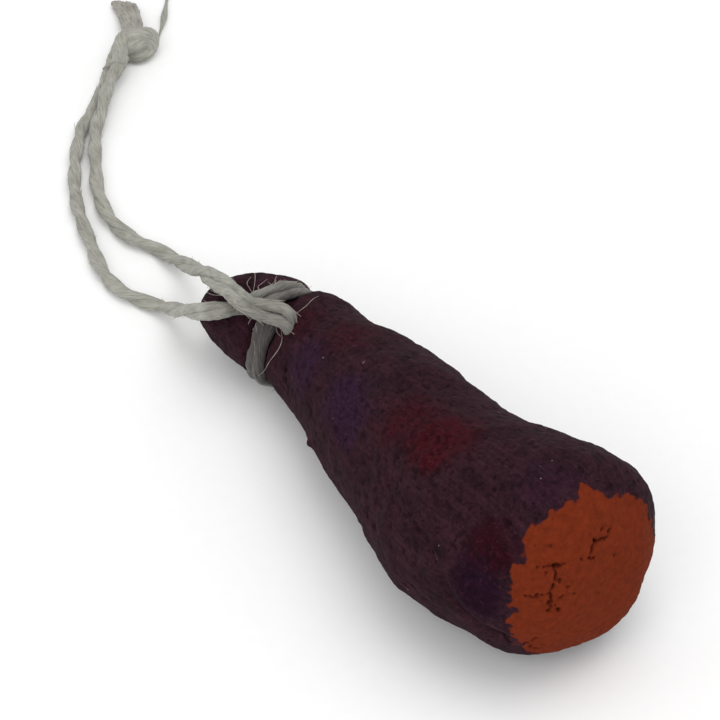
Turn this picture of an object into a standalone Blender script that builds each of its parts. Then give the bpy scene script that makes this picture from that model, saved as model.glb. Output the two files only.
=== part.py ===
"""Miniature cured pork loin of painted clay, tied at its neck with a loop of twine.

The loin lies on its side along +X, its small head at -X and its bare cut end at +X.
The two strands of the twine lie side by side on the same surface and meet in a knot.
Sizes below are in millimetres; the mesh is built in metres with +Z up.
"""

import math

import bmesh
import bpy
from mathutils import Matrix, Vector

MM = 0.001

# Clay body: distances are measured along the body from the tip of its head.
HEAD_LENGTH = 7.2
HEAD_RADIUS = 4.4
BULB_START = 43.8
BULB_RADIUS = 9.0
END_LENGTH = 7.8
END_SQUARENESS = 2.8
BODY_LENGTH = BULB_START + END_LENGTH

# Tie groove behind the head
GROOVE_AT = 8.4
GROOVE_RADIUS = 3.3
CALM_LENGTH = 5.0

# Radius of the body from the head's rim, through the groove, to the widest place
PROFILE = [
    (HEAD_LENGTH, HEAD_RADIUS), (7.5, 4.2), (7.8, 3.6), (8.15, GROOVE_RADIUS),
    (8.65, GROOVE_RADIUS), (9.1, 3.7), (9.6, 4.35), (10.3, 4.65), (13.0, 4.9),
    (17.0, 5.5), (21.0, 6.2), (25.0, 6.75), (29.0, 7.05), (33.0, 7.6),
    (36.5, 8.3), (40.0, 8.75), (42.5, 9.0), (BULB_START, BULB_RADIUS),
]

# Sideways bend of the body's middle line
BEND = [
    (0.0, -0.6), (4.0, 1.0), (7.2, 1.4), (8.4, 1.45), (10.3, 2.05), (13.0, 2.1),
    (17.0, 1.65), (21.0, 1.1), (25.0, 0.5), (29.0, 0.0), (33.0, -0.7), (36.5, -1.0),
    (40.0, -0.5), (44.0, 0.3), (48.0, 0.4), (51.6, -0.1),
]

# Height of the middle line: a straight slope, with the head bent up a little
HEAD_HEIGHT = 4.43
SLOPE = 0.1235
HEAD_LIFT = [(0.0, 0.55), (4.0, 0.4), (7.2, 0.1), (8.4, 0.0), (BODY_LENGTH, 0.0)]

# Mesh of the body
SIDES = 44
HEAD_RINGS = 9
BODY_STEP = 1.25
GROOVE_STEP = 0.31
GROOVE_ENDS = (HEAD_LENGTH, 10.3)
END_RINGS = 11

# Twine
TWINE = 1.2
GAP = 0.06
RING_SIDES = 32
STRAND_STEP = 2.4
KNOT_SEGMENTS = 16

# Routes of the twine's free stretches, from the neck to the end knot
UPPER_ROUTE = [
    (-17.9, -2.3, 9.85), (-19.2, -2.2, 9.7), (-21.1, -1.8, 9.0), (-23.0, -1.4, 8.2),
    (-24.9, -0.9, 7.2), (-27.1, -0.2, 5.7), (-29.7, 0.7, 3.9), (-32.2, 1.5, 2.3),
    (-34.3, 1.8, 1.2), (-35.9, 1.8, 0.75), (-37.2, 1.6, 0.62), (-38.4, 1.2, 0.62),
    (-39.9, 0.7, 0.62), (-42.2, 0.5, 0.62), (-44.6, 0.9, 0.62), (-47.2, 1.9, 0.62),
    (-49.8, 3.4, 0.62), (-52.5, 5.1, 0.7), (-54.5, 6.6, 1.0), (-55.9, 8.1, 1.4),
    (-57.4, 9.6, 1.7), (-58.9, 11.2, 1.75), (-60.1, 12.8, 1.75), (-60.9, 13.9, 1.75),
]
LOWER_ROUTE = [
    (-19.5, -2.3, 8.15), (-20.7, -2.8, 7.4), (-21.7, -3.1, 6.85), (-22.8, -3.4, 6.15),
    (-24.1, -3.4, 5.2), (-25.7, -3.15, 4.0), (-27.4, -2.75, 2.7), (-29.1, -2.5, 1.55),
    (-30.6, -2.6, 0.85), (-31.8, -3.05, 0.64), (-34.0, -3.9, 0.62), (-36.4, -4.1, 0.62),
    (-39.4, -3.4, 0.62), (-42.5, -2.3, 0.62), (-45.5, -1.2, 0.62), (-48.2, 0.1, 0.62),
    (-50.9, 1.8, 0.62), (-53.2, 3.6, 0.62), (-55.4, 5.5, 0.62), (-56.9, 7.4, 0.62),
    (-58.1, 9.1, 0.62), (-59.5, 10.6, 0.62), (-60.8, 12.0, 0.62), (-61.7, 13.3, 0.62),
]
FRAYED_TAIL_ROUTE = [(-65.0, 17.2, 0.8), (-67.2, 18.4, 0.66), (-69.3, 19.6, 0.62)]
THIN_TAIL_ROUTE = [
    (-63.3, 19.0, 0.5), (-64.5, 20.6, 0.32), (-66.2, 22.3, 0.28), (-68.6, 24.3, 0.28),
]
THIN_TAIL = 0.5
TAIL_STEP = 1.2

# Knots: centre, half sizes and turn about +Z
NECK_KNOT = ((-15.3, -1.0, 10.1), (2.45, 1.1, 0.72), 28.0)
END_KNOT = ((-62.6, 16.3, 1.3), (2.2, 2.3, 1.25), 0.0)


def clear_scene():
    for obj in list(bpy.data.objects):
        bpy.data.objects.remove(obj, do_unlink=True)


def make_material(name, colour, roughness):
    material = bpy.data.materials.new(name)
    material.use_nodes = True
    shader = material.node_tree.nodes["Principled BSDF"]
    shader.inputs["Base Color"].default_value = (*colour, 1.0)
    shader.inputs["Roughness"].default_value = roughness
    shader.inputs["Metallic"].default_value = 0.0
    return material


def smooth_value(points, x):
    """Value at x of a smooth curve through hand-chosen (x, value) points."""
    last = len(points) - 1
    i = 0
    while i < last - 1 and x > points[i + 1][0]:
        i += 1
    slopes = []
    for k in (i, i + 1):
        before = points[max(k - 1, 0)]
        after = points[min(k + 1, last)]
        slopes.append((after[1] - before[1]) / (after[0] - before[0]))
    (x0, v0), (x1, v1) = points[i], points[i + 1]
    width = x1 - x0
    t = (x - x0) / width
    return (
        (2 * t**3 - 3 * t**2 + 1) * v0 + (t**3 - 2 * t**2 + t) * width * slopes[0]
        + (3 * t**2 - 2 * t**3) * v1 + (t**3 - t**2) * width * slopes[1]
    )


def body_radius(x):
    if x <= HEAD_LENGTH:
        return HEAD_RADIUS * math.sqrt(max(0.0, 1.0 - ((HEAD_LENGTH - x) / HEAD_LENGTH) ** 2))
    if x <= BULB_START:
        return smooth_value(PROFILE, x)
    along = min((x - BULB_START) / END_LENGTH, 1.0)
    return BULB_RADIUS * math.sqrt(1.0 - along**END_SQUARENESS)


def body_centre(x):
    height = HEAD_HEIGHT + SLOPE * (x - HEAD_LENGTH) + smooth_value(HEAD_LIFT, x)
    return Vector((x - BODY_LENGTH / 2, smooth_value(BEND, x), height))


def hand_formed(x, angle):
    """Small unevenness of clay rolled and pressed by hand, even under the twine."""
    uneven = min(1.0, abs(x - GROOVE_AT) / CALM_LENGTH)
    return 1.0 + uneven * (
        0.010 * math.sin(2 * angle + 0.21 * x)
        + 0.008 * math.sin(3 * angle - 0.33 * x + 1.0)
        + 0.004 * math.sin(5 * angle + 0.55 * x)
    )


def body_stations():
    """Places along the body where a ring of the mesh stands."""
    stations = []
    for i in range(1, HEAD_RINGS + 1):
        stations.append(HEAD_LENGTH * (1.0 - math.cos(math.pi / 2 * i / HEAD_RINGS)))
    for start, end, step in (
        (GROOVE_ENDS[0], GROOVE_ENDS[1], GROOVE_STEP),
        (GROOVE_ENDS[1], BULB_START, BODY_STEP),
    ):
        count = round((end - start) / step)
        stations += [start + (end - start) * (i + 1) / count for i in range(count)]
    for i in range(1, END_RINGS):
        stations.append(BULB_START + END_LENGTH * math.sin(math.pi / 2 * i / END_RINGS))
    return stations


def finish_object(name, mesh, material):
    mesh.shade_smooth()
    mesh.set_sharp_from_angle(angle=math.radians(40))
    mesh.materials.append(material)
    obj = bpy.data.objects.new(name, mesh)
    bpy.context.collection.objects.link(obj)
    return obj


def build_body(material):
    """One clay body: rings along the bent middle line, cut flat where it lay."""
    bm = bmesh.new()
    tip = bm.verts.new(body_centre(0.0) * MM)
    rings = []
    for x in body_stations():
        centre = body_centre(x)
        radius = body_radius(x)
        ring = []
        for k in range(SIDES):
            angle = 2 * math.pi * k / SIDES
            reach = radius * hand_formed(x, angle)
            offset = Vector((0.0, reach * math.cos(angle), reach * math.sin(angle)))
            ring.append(bm.verts.new((centre + offset) * MM))
        rings.append(ring)
    end = bm.verts.new(body_centre(BODY_LENGTH) * MM)
    for k in range(SIDES):
        after = (k + 1) % SIDES
        bm.faces.new((tip, rings[0][after], rings[0][k]))
        for here, there in zip(rings, rings[1:]):
            bm.faces.new((here[k], here[after], there[after], there[k]))
        bm.faces.new((end, rings[-1][k], rings[-1][after]))
    lay_flat(bm)
    bmesh.ops.recalc_face_normals(bm, faces=bm.faces)
    mesh = bpy.data.meshes.new("loin_body")
    bm.to_mesh(mesh)
    bm.free()
    return finish_object("loin_body", mesh, material)


def lay_flat(bm):
    """Cut off what would sink into the surface, and close the cut with flat faces."""
    geometry = bm.verts[:] + bm.edges[:] + bm.faces[:]
    bmesh.ops.bisect_plane(
        bm, geom=geometry, dist=0.01 * MM, plane_co=(0, 0, 0), plane_no=(0, 0, 1),
        clear_inner=True,
    )
    open_edges = [edge for edge in bm.edges if edge.is_boundary]
    bmesh.ops.holes_fill(bm, edges=open_edges, sides=0)


def tube(name, points, diameter, material, cyclic=False):
    """A round length of twine: a curve with a bevel and closed ends."""
    curve = bpy.data.curves.new(name, "CURVE")
    curve.dimensions = "3D"
    curve.bevel_depth = diameter / 2 * MM
    curve.bevel_resolution = 2
    curve.use_fill_caps = True
    spline = curve.splines.new("POLY")
    spline.points.add(len(points) - 1)
    for target, point in zip(spline.points, points):
        target.co = (*(Vector(point) * MM), 1.0)
    spline.use_cyclic_u = cyclic
    curve.materials.append(material)
    obj = bpy.data.objects.new(name, curve)
    bpy.context.collection.objects.link(obj)
    return obj


def smooth_route(points, step):
    """Points every step along a smooth curve through a route's own points."""
    path = [Vector(point) for point in points]
    ends = [2 * path[0] - path[1]] + path + [2 * path[-1] - path[-2]]
    dense = []
    fine = 16
    for a, b, c, d in zip(ends, ends[1:], ends[2:], ends[3:]):
        for i in range(fine):
            t = i / fine
            dense.append(
                0.5 * (2 * b + (c - a) * t + (2 * a - 5 * b + 4 * c - d) * t**2
                       + (3 * b - a - 3 * c + d) * t**3)
            )
    dense.append(path[-1])
    total = sum((q - p).length for p, q in zip(dense, dense[1:]))
    spacing = total / round(total / step)
    result = [dense[0]]
    walked = 0.0
    for p, q in zip(dense, dense[1:]):
        walked += (q - p).length
        if walked >= spacing * len(result) - 1e-6:
            result.append(q)
    return result


def build_neck_ring(material):
    centre = body_centre(GROOVE_AT)
    radius = GROOVE_RADIUS + GAP + TWINE / 2
    points = []
    for i in range(RING_SIDES):
        angle = 2 * math.pi * i / RING_SIDES
        points.append(centre + Vector((0, radius * math.cos(angle), radius * math.sin(angle))))
    return tube("neck_binding", points, TWINE, material, cyclic=True)


def build_knot(name, knot, material):
    """A closed rounded lump of the knot's outer size."""
    centre, half_sizes, turn = knot
    bm = bmesh.new()
    bmesh.ops.create_uvsphere(
        bm, u_segments=KNOT_SEGMENTS, v_segments=KNOT_SEGMENTS // 2, radius=MM,
        matrix=Matrix.Translation(Vector(centre) * MM)
        @ Matrix.Rotation(math.radians(turn), 4, "Z")
        @ Matrix.Diagonal((*half_sizes, 1.0)),
    )
    mesh = bpy.data.meshes.new(name)
    bm.to_mesh(mesh)
    bm.free()
    return finish_object(name, mesh, material)


def build():
    clear_scene()
    clay = make_material("painted_clay", (0.045, 0.016, 0.022), 0.62)
    twine = make_material("natural_twine", (0.42, 0.40, 0.35), 0.9)
    build_body(clay)
    build_neck_ring(twine)
    build_knot("neck_knot", NECK_KNOT, twine)
    tube("upper_strand", smooth_route(UPPER_ROUTE, STRAND_STEP), TWINE, twine)
    tube("lower_strand", smooth_route(LOWER_ROUTE, STRAND_STEP), TWINE, twine)
    build_knot("end_knot", END_KNOT, twine)
    tube("frayed_tail", smooth_route(FRAYED_TAIL_ROUTE, TAIL_STEP), TWINE, twine)
    tube("thin_tail", smooth_route(THIN_TAIL_ROUTE, TAIL_STEP), THIN_TAIL, twine)


build()
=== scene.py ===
"""Miniature cured pork loin of painted terracotta clay, tied on a loop of natural twine."""

import math

import bpy
import numpy as np
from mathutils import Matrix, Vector, noise


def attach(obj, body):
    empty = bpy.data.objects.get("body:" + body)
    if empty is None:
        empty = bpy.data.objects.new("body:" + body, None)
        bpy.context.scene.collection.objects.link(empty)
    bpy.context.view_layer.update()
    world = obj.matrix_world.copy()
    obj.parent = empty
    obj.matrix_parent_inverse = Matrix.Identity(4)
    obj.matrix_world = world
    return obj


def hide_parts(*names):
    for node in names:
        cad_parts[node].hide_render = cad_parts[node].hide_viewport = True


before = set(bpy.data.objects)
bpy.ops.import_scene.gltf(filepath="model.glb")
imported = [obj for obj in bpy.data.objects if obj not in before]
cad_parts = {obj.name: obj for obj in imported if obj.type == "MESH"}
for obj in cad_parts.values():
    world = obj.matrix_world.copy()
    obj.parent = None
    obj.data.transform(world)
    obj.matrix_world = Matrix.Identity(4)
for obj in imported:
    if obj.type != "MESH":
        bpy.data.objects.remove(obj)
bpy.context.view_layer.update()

# Sizes below are in millimetres, and MM turns them into the frame's metres.
MM = 0.001

# ---------------------------------------------------------------------------
# Clay body
# One piece of terracotta clay, rolled by hand, pinched to a small head and a
# neck groove, dented while soft and cut off with a domed end. The maroon paint
# was brushed on afterwards and stops in a ragged edge round the bare cut end.
# ---------------------------------------------------------------------------

HEAD_LENGTH = 7.2
HEAD_RADIUS = 4.4
BULB_START = 43.8
BULB_RADIUS = 9.0
END_LENGTH = 7.8
END_SQUARENESS = 2.8
BODY_LENGTH = BULB_START + END_LENGTH
GROOVE_AT = 8.4
GROOVE_RADIUS = 3.3
# Outline from the head to the bulb: (distance from the head's tip, radius)
PROFILE = [
    (HEAD_LENGTH, HEAD_RADIUS), (7.5, 4.2), (7.8, 3.6), (8.15, GROOVE_RADIUS),
    (8.65, GROOVE_RADIUS), (9.1, 3.7), (9.6, 4.35), (10.3, 4.65), (13.0, 4.9),
    (17.0, 5.5), (21.0, 6.2), (25.0, 6.75), (29.0, 7.05), (33.0, 7.6),
    (36.5, 8.3), (40.0, 8.75), (42.5, 9.0), (BULB_START, BULB_RADIUS),
]
# The middle line's bend to the side, and how far it rises: a slope and the head's own lift
BEND = [
    (0.0, -0.6), (4.0, 1.0), (7.2, 1.4), (8.4, 1.45), (10.3, 2.05), (13.0, 2.1),
    (17.0, 1.65), (21.0, 1.1), (25.0, 0.5), (29.0, 0.0), (33.0, -0.7), (36.5, -1.0),
    (40.0, -0.5), (44.0, 0.3), (48.0, 0.4), (51.6, -0.1),
]
HEAD_HEIGHT = 4.43
SLOPE = 0.1235
HEAD_LIFT = [(0.0, 0.55), (4.0, 0.4), (7.2, 0.1), (8.4, 0.0), (BODY_LENGTH, 0.0)]
# Out of round: waves round the body, their height as a share of the radius, their drift
# in radians per millimetre and their start. They calm down beside the groove.
WAVES = ((2, 0.010, 0.21, 0.0), (3, 0.008, -0.33, 1.0), (5, 0.004, 0.55, 0.0))
CALM_LENGTH = 5.0

# The tie lies a little askew round the neck, and the groove with it; in front
# the twine has pressed the groove wider towards the body.
SKEW = 0.95
SKEW_SHIFT = -0.2
SKEW_TURN = math.radians(195)
SKEW_LENGTH = 3.0
FRONT_WIDENING = 1.1
WIDENING_LENGTH = 4.0

# Where the paint stops: (degrees round the body, distance from the head's tip)
PAINT_EDGE = [
    (0, 49.3), (26, 49.4), (36, 49.0), (58, 48.9), (74, 49.1), (80, 48.4),
    (87, 47.5), (95, 48.3), (102, 48.3), (109, 48.0), (124, 47.7), (140, 48.8),
    (146, 48.3), (159, 48.8), (175, 49.5), (182, 48.9), (195, 49.3), (215, 49.0),
    (232, 48.8), (270, 48.8), (320, 49.2), (360, 49.3),
]
PAINT_THICKNESS = 0.04
# The end is domed, so the skin runs this much further than the middle line there.
DOME_SLANT = 1.27
# The brush left teeth: reach, size and seed. The coat thins out over EDGE_FADE.
TEETH = ((0.30, 0.75, 3), (0.16, 0.36, 4))
EDGE_FADE = (-0.06, 0.10)

# Small pits in the clay: place, radius and depth. A pit starts at PIT_RIM of its radius
# and is deepest within PIT_FLOOR of it.
PIT_RIM = 1.1
PIT_FLOOR = 0.4
PITS = [
    ((-11.9, -2.5, 7.0), 0.32, 0.32), ((-11.6, -2.9, 6.3), 0.26, 0.28),
    ((-3.6, -3.4, 10.5), 0.34, 0.28), ((20.3, -5.0, 16.2), 0.45, 0.30),
    ((24.8, 0.0, 14.8), 0.26, 0.30), ((24.5, -3.6, 14.1), 0.26, 0.30),
    ((24.7, -3.8, 13.3), 0.24, 0.26), ((24.9, -4.1, 12.6), 0.26, 0.26),
    ((24.9, -3.6, 12.9), 0.20, 0.22), ((24.4, -5.3, 11.7), 0.26, 0.28),
    ((25.0, -4.4, 11.0), 0.30, 0.30), ((25.0, -4.5, 10.2), 0.22, 0.26),
    ((25.3, -3.7, 10.1), 0.20, 0.24), ((24.5, 0.8, 15.4), 0.22, 0.22),
    ((24.7, 1.5, 14.9), 0.20, 0.20), ((25.4, 1.7, 12.7), 0.22, 0.20),
    ((25.1, -1.9, 14.0), 0.16, 0.18), ((24.3, -4.4, 13.6), 0.18, 0.20),
    ((24.6, -4.9, 11.1), 0.18, 0.18), ((25.3, -3.1, 12.2), 0.16, 0.16),
    ((11.0, -6.0, 14.2), 0.35, 0.18), ((9.4, -5.2, 13.9), 0.30, 0.16),
    ((12.6, -6.8, 13.6), 0.34, 0.18), ((23.8, -4.5, 4.9), 0.36, 0.35),
    ((23.8, -5.5, 6.1), 0.28, 0.28),
]

# Cracks in the cut end: places, width and depth, full within CRACK_FLOOR of the width
CRACK_FLOOR = 0.25
CRACKS = [
    (((24.5, -0.4, 15.4), (24.7, -0.1, 15.0), (24.8, 0.0, 14.8)), 0.16, 0.32),
    (((24.8, 0.0, 14.8), (24.9, 0.4, 14.75), (24.9, 1.2, 14.5)), 0.14, 0.28),
    (((24.8, 0.0, 14.8), (25.0, -0.5, 14.4), (25.2, -0.8, 13.8)), 0.17, 0.34),
    (((25.2, -0.8, 13.8), (25.1, -1.2, 13.85), (25.0, -1.6, 14.0)), 0.14, 0.26),
    (((25.2, -0.8, 13.8), (25.3, -0.3, 13.5)), 0.11, 0.20),
    (((23.8, -4.9, 14.1), (24.2, -4.1, 14.2), (24.5, -3.5, 14.1), (24.7, -2.8, 14.1)), 0.11, 0.18),
    (((24.5, -3.7, 14.1), (24.7, -3.7, 13.4), (24.9, -4.0, 12.7), (24.9, -4.4, 12.0)), 0.15, 0.28),
    (((24.9, -4.4, 12.0), (24.7, -4.9, 11.9), (24.4, -5.3, 11.7), (23.9, -6.1, 11.8)), 0.12, 0.22),
    (((24.9, -4.4, 12.0), (25.0, -4.3, 11.0), (25.0, -4.5, 10.1)), 0.15, 0.26),
    (((25.1, -4.1, 10.7), (25.3, -3.7, 10.0)), 0.12, 0.20),
    (((25.2, -3.8, 11.3), (25.5, -3.0, 11.45), (25.6, -2.3, 11.3)), 0.11, 0.16),
    (((22.9, -4.5, 15.4), (23.3, -4.0, 15.5), (23.7, -3.5, 15.4)), 0.10, 0.14),
    (((22.7, -7.1, 7.1), (22.9, -6.5, 6.0)), 0.18, 0.32),
    (((24.4, -5.1, 6.9), (24.1, -5.3, 6.0), (23.6, -5.0, 5.0)), 0.18, 0.32),
]
# The fold pressed in beside the cut end, darkened with painted shade within FOLD_FLOOR of its width
FOLD = (
    (14.1, -8.1, 12.6), (15.6, -8.5, 11.7), (17.0, -8.6, 10.9), (17.9, -8.7, 9.5),
    (19.1, -8.6, 8.2), (20.8, -8.1, 7.5), (22.5, -7.2, 7.0),
)
FOLD_WIDTH = 0.6
FOLD_DEPTH = 0.40
FOLD_FLOOR = 0.4
# The edges of pits and cracks crumble: how far and how coarsely
CRUMBLE = 0.10
CRUMBLE_SIZE = 0.42
# How dark the painted shade at the bottom of each kind of recess is, from 0 to 1
FOLD_SHADE = 0.5
POCK_SHADE = 0.5
PIT_SHADE = 0.6
CRACK_SHADE = 0.65

# Broad dents and swellings pressed in by the fingers: place, size and height
LUMPS = [
    ((-8.6, -2.0, 9.3), 2.2, 0.10), ((2.7, -3.8, 12.4), 2.4, 0.12),
    ((12.7, -6.5, 14.5), 2.0, 0.12), ((17.5, -8.7, 11.5), 1.8, 0.25),
    ((-5.0, -5.0, 5.3), 0.35, 0.35), ((20.7, -8.1, 11.1), 2.2, -0.20),
    ((5.6, 1.9, 14.0), 3.0, -0.10), ((23.4, 2.5, 3.2), 3.0, 0.55),
]

# Unevenness of the hand-rolled clay, each as height and size, and the zone on its
# flank where it is rougher
SWELLS = (0.14, 4.5)
BUMPS = (0.06, 1.7)
SMALL_BUMPS = (0.020, 0.7)
GRAINS = (0.020, 0.38)
BARE_GRAINS = 0.010
ROUGH_PLACE = (9.5, -6.0, 13.2)
ROUGH_SIZE = 6.0
ROUGHER = 2.2
# Small pocks in the paint; the rough zone has more and deeper ones.
POCK_SIZE = 0.50
POCK_START = 0.50
POCK_FULL = 0.90
MORE_POCKS = 0.18
POCK_DEPTH = 0.05
DEEPER_POCKS = 0.08

# The mesh, closer on the cut end where the cracks are
STATIONS = 326
SIDES = 288
END_DENSITY = 1.8
DENSE_FROM = BULB_START + 0.4 * END_LENGTH


def smooth_values(points, x):
    """Values at x of a smooth curve through (x, value) points."""
    at, value = np.array(points, float).T
    slope = np.empty_like(value)
    slope[1:-1] = (value[2:] - value[:-2]) / (at[2:] - at[:-2])
    slope[0] = (value[1] - value[0]) / (at[1] - at[0])
    slope[-1] = (value[-1] - value[-2]) / (at[-1] - at[-2])
    i = np.clip(np.searchsorted(at, x, side="right") - 1, 0, len(at) - 2)
    width = at[i + 1] - at[i]
    t = (x - at[i]) / width
    return (
        (2 * t**3 - 3 * t**2 + 1) * value[i] + (t**3 - 2 * t**2 + t) * width * slope[i]
        + (3 * t**2 - 2 * t**3) * value[i + 1] + (t**3 - t**2) * width * slope[i + 1]
    )


def body_radius(x):
    """Radius of the round head, the profiled side and the squarish domed end."""
    head = HEAD_RADIUS * np.sqrt(np.clip(1 - ((HEAD_LENGTH - x) / HEAD_LENGTH) ** 2, 0, 1))
    side = smooth_values(PROFILE, np.clip(x, HEAD_LENGTH, BULB_START))
    along = np.clip((x - BULB_START) / END_LENGTH, 0, 1)
    end = BULB_RADIUS * np.sqrt(1 - along**END_SQUARENESS)
    return np.where(x < HEAD_LENGTH, head, np.where(x < BULB_START, side, end))


def body_centre(x):
    """The middle line's place at a distance from the head's tip."""
    height = HEAD_HEIGHT + SLOPE * (x - HEAD_LENGTH) + smooth_values(HEAD_LIFT, x)
    return np.stack([x - BODY_LENGTH / 2, smooth_values(BEND, x), height], -1)


def body_stations():
    """Places along the body, evenly spaced over its outline and closer on the cut end."""
    x = np.concatenate([
        HEAD_LENGTH * (1 - np.cos(np.linspace(0, math.pi / 2, 400))),
        np.linspace(HEAD_LENGTH, BULB_START, 2000)[1:],
        BULB_START + END_LENGTH * np.sin(np.linspace(0, math.pi / 2, 800))[1:],
    ])
    step = np.hypot(np.diff(x), np.diff(body_radius(x)))
    step[x[1:] > DENSE_FROM] *= END_DENSITY
    walked = np.concatenate([[0], np.cumsum(step)])
    return np.interp(np.linspace(0, walked[-1], STATIONS + 2)[1:-1], walked, x)


def rough(points, size, seed):
    """Smooth random values from about -1 to 1, with lumps of the given size."""
    shifted = (points / size + seed * 17.31).reshape(-1, 3)
    values = np.array([noise.noise(p) for p in shifted.tolist()])
    return (2 * values).reshape(points.shape[:-1])


def distance_to_line(points, line):
    """Distance of every point from a line through the given places."""
    best = np.full(points.shape[:-1], 1e9)
    for a, b in zip(np.array(line, float)[:-1], np.array(line, float)[1:]):
        t = np.clip(((points - a) @ (b - a)) / ((b - a) @ (b - a)), 0, 1)
        best = np.minimum(best, np.linalg.norm(points - a - t[..., None] * (b - a), axis=-1))
    return best


def smooth_step(x, low, high):
    """0 at low, 1 at high and a smooth rise between; high may be the smaller one."""
    t = np.clip((x - low) / (high - low), 0, 1)
    return t * t * (3 - 2 * t)


def make_mesh(name, points, faces):
    """A smooth-shaded mesh object from points in millimetres."""
    mesh = bpy.data.meshes.new(name)
    mesh.from_pydata((np.asarray(points, float) * MM).tolist(), [], faces)
    mesh.validate()
    mesh.shade_smooth()
    obj = bpy.data.objects.new(name, mesh)
    bpy.context.collection.objects.link(obj)
    return obj


def write_attribute(obj, name, values):
    """Keeps one number for each point of a mesh, for its material to read."""
    attribute = obj.data.attributes.new(name, "FLOAT", "POINT")
    attribute.data.foreach_set("value", np.asarray(values, np.float32).ravel())


along = body_stations()[:, None]
around = np.linspace(0, 2 * math.pi, SIDES, endpoint=False)[None, :]
skew_fade = np.exp(-((along - GROOVE_AT) / SKEW_LENGTH) ** 2)
skew = (SKEW_SHIFT + SKEW * np.cos(around - SKEW_TURN)) * skew_fade
in_groove = along - skew
past_groove = np.maximum(in_groove - GROOVE_AT, 0)
widened = FRONT_WIDENING * (0.5 + 0.5 * np.cos(around - SKEW_TURN))
widened = widened * np.exp(-((past_groove / WIDENING_LENGTH) ** 2))
in_groove = np.where(
    in_groove > GROOVE_AT, np.maximum(in_groove - widened, GROOVE_AT), in_groove
)
uneven = np.minimum(1, abs(along - GROOVE_AT) / CALM_LENGTH) * sum(
    share * np.sin(count * around + drift * along + start)
    for count, share, drift, start in WAVES
)
reach = body_radius(in_groove) * (1 + uneven)
skin = np.repeat(body_centre(along[:, 0])[:, None, :], SIDES, axis=1)
skin[..., 1] += reach * np.cos(around)
skin[..., 2] += reach * np.sin(around)

# Outward direction of the skin
lengthwise = np.gradient(skin, axis=0)
crosswise = np.roll(skin, -1, axis=1) - np.roll(skin, 1, axis=1)
outward = np.cross(crosswise, lengthwise)
outward /= np.linalg.norm(outward, axis=-1, keepdims=True)

# Bare clay shows where this distance inside the paint's ragged edge is above 0.
edge_at = np.interp(np.degrees(around[0]), *np.array(PAINT_EDGE, float).T)[None, :]
teeth = sum(reach_out * rough(skin, size, seed) for reach_out, size, seed in TEETH)
inside_edge = (along - edge_at) * DOME_SLANT + teeth
bare = smooth_step(inside_edge, *EDGE_FADE)

# Swellings, dents, the fold, pits and cracks, all as heights along the skin
rough_zone = np.exp(-(np.linalg.norm(skin - ROUGH_PLACE, axis=-1) / ROUGH_SIZE) ** 2)
height = SWELLS[0] * rough(skin, SWELLS[1], seed=1)
height += BUMPS[0] * (1 + ROUGHER * rough_zone) * rough(skin, BUMPS[1], seed=2)
height += SMALL_BUMPS[0] * (1 + ROUGHER * rough_zone) * rough(skin, SMALL_BUMPS[1], seed=5)
height += (GRAINS[0] + BARE_GRAINS * bare) * rough(skin, GRAINS[1], seed=6)
pocks = smooth_step(
    rough(skin, POCK_SIZE, seed=11), POCK_START - MORE_POCKS * rough_zone, POCK_FULL
)
pocks = pocks * (1 - bare)
height -= (POCK_DEPTH + DEEPER_POCKS * rough_zone) * pocks
for place, size, amount in LUMPS:
    height += amount * np.exp(-(np.linalg.norm(skin - place, axis=-1) / size) ** 2)
fold_distance = distance_to_line(skin, FOLD)
height -= FOLD_DEPTH * np.exp(-(fold_distance / FOLD_WIDTH) ** 2)
# Painted shade: the fold, pocks, pits and cracks are coloured darker towards their bottoms.
fold_shade_mask = np.exp(-(fold_distance / (FOLD_FLOOR * FOLD_WIDTH)) ** 2)
hollow_shade = np.maximum(FOLD_SHADE * fold_shade_mask, POCK_SHADE * pocks)
crumbled = np.stack([rough(skin, CRUMBLE_SIZE, seed=7 + k) for k in range(3)], -1)
crumbled = skin + CRUMBLE * crumbled
for place, size, depth in PITS:
    away = np.linalg.norm(crumbled - place, axis=-1)
    pit = smooth_step(away, PIT_RIM * size, PIT_FLOOR * size)
    height -= depth * pit
    hollow_shade = np.maximum(hollow_shade, PIT_SHADE * pit)
for line, width, depth in CRACKS:
    crack = smooth_step(distance_to_line(crumbled, line), width, CRACK_FLOOR * width)
    height -= depth * crack
    hollow_shade = np.maximum(hollow_shade, CRACK_SHADE * crack)
height += PAINT_THICKNESS * (1 - bare)

skin = skin + outward * height[..., None]
tip = body_centre(np.array([0.0]))
end = body_centre(np.array([BODY_LENGTH]))
clay_points = np.concatenate([tip, skin.reshape(-1, 3), end])
clay_points[:, 2] = np.maximum(clay_points[:, 2], 0.0)
clay_faces = []
for i in range(STATIONS - 1):
    for k in range(SIDES):
        here, after = 1 + i * SIDES + k, 1 + i * SIDES + (k + 1) % SIDES
        clay_faces.append((here, after, after + SIDES, here + SIDES))
last_ring = 1 + (STATIONS - 1) * SIDES
for k in range(SIDES):
    after = (k + 1) % SIDES
    clay_faces.append((0, 1 + after, 1 + k))
    clay_faces.append((len(clay_points) - 1, last_ring + k, last_ring + after))
clay_body = make_mesh("clay_body", clay_points, clay_faces)
write_attribute(clay_body, "inside_edge", np.concatenate([[-9], inside_edge.ravel(), [9]]))
# How much painted shade each point gets at the bottom of its recess
write_attribute(clay_body, "hollow_shade", np.concatenate([[0], hollow_shade.ravel(), [0]]))


def linear(colour):
    """An sRGB hex colour as linear red, green, blue and alpha."""
    parts = [int(colour[i:i + 2], 16) / 255 for i in (1, 3, 5)]
    return (*[c / 12.92 if c <= 0.04045 else ((c + 0.055) / 1.055) ** 2.4 for c in parts], 1.0)


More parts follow.
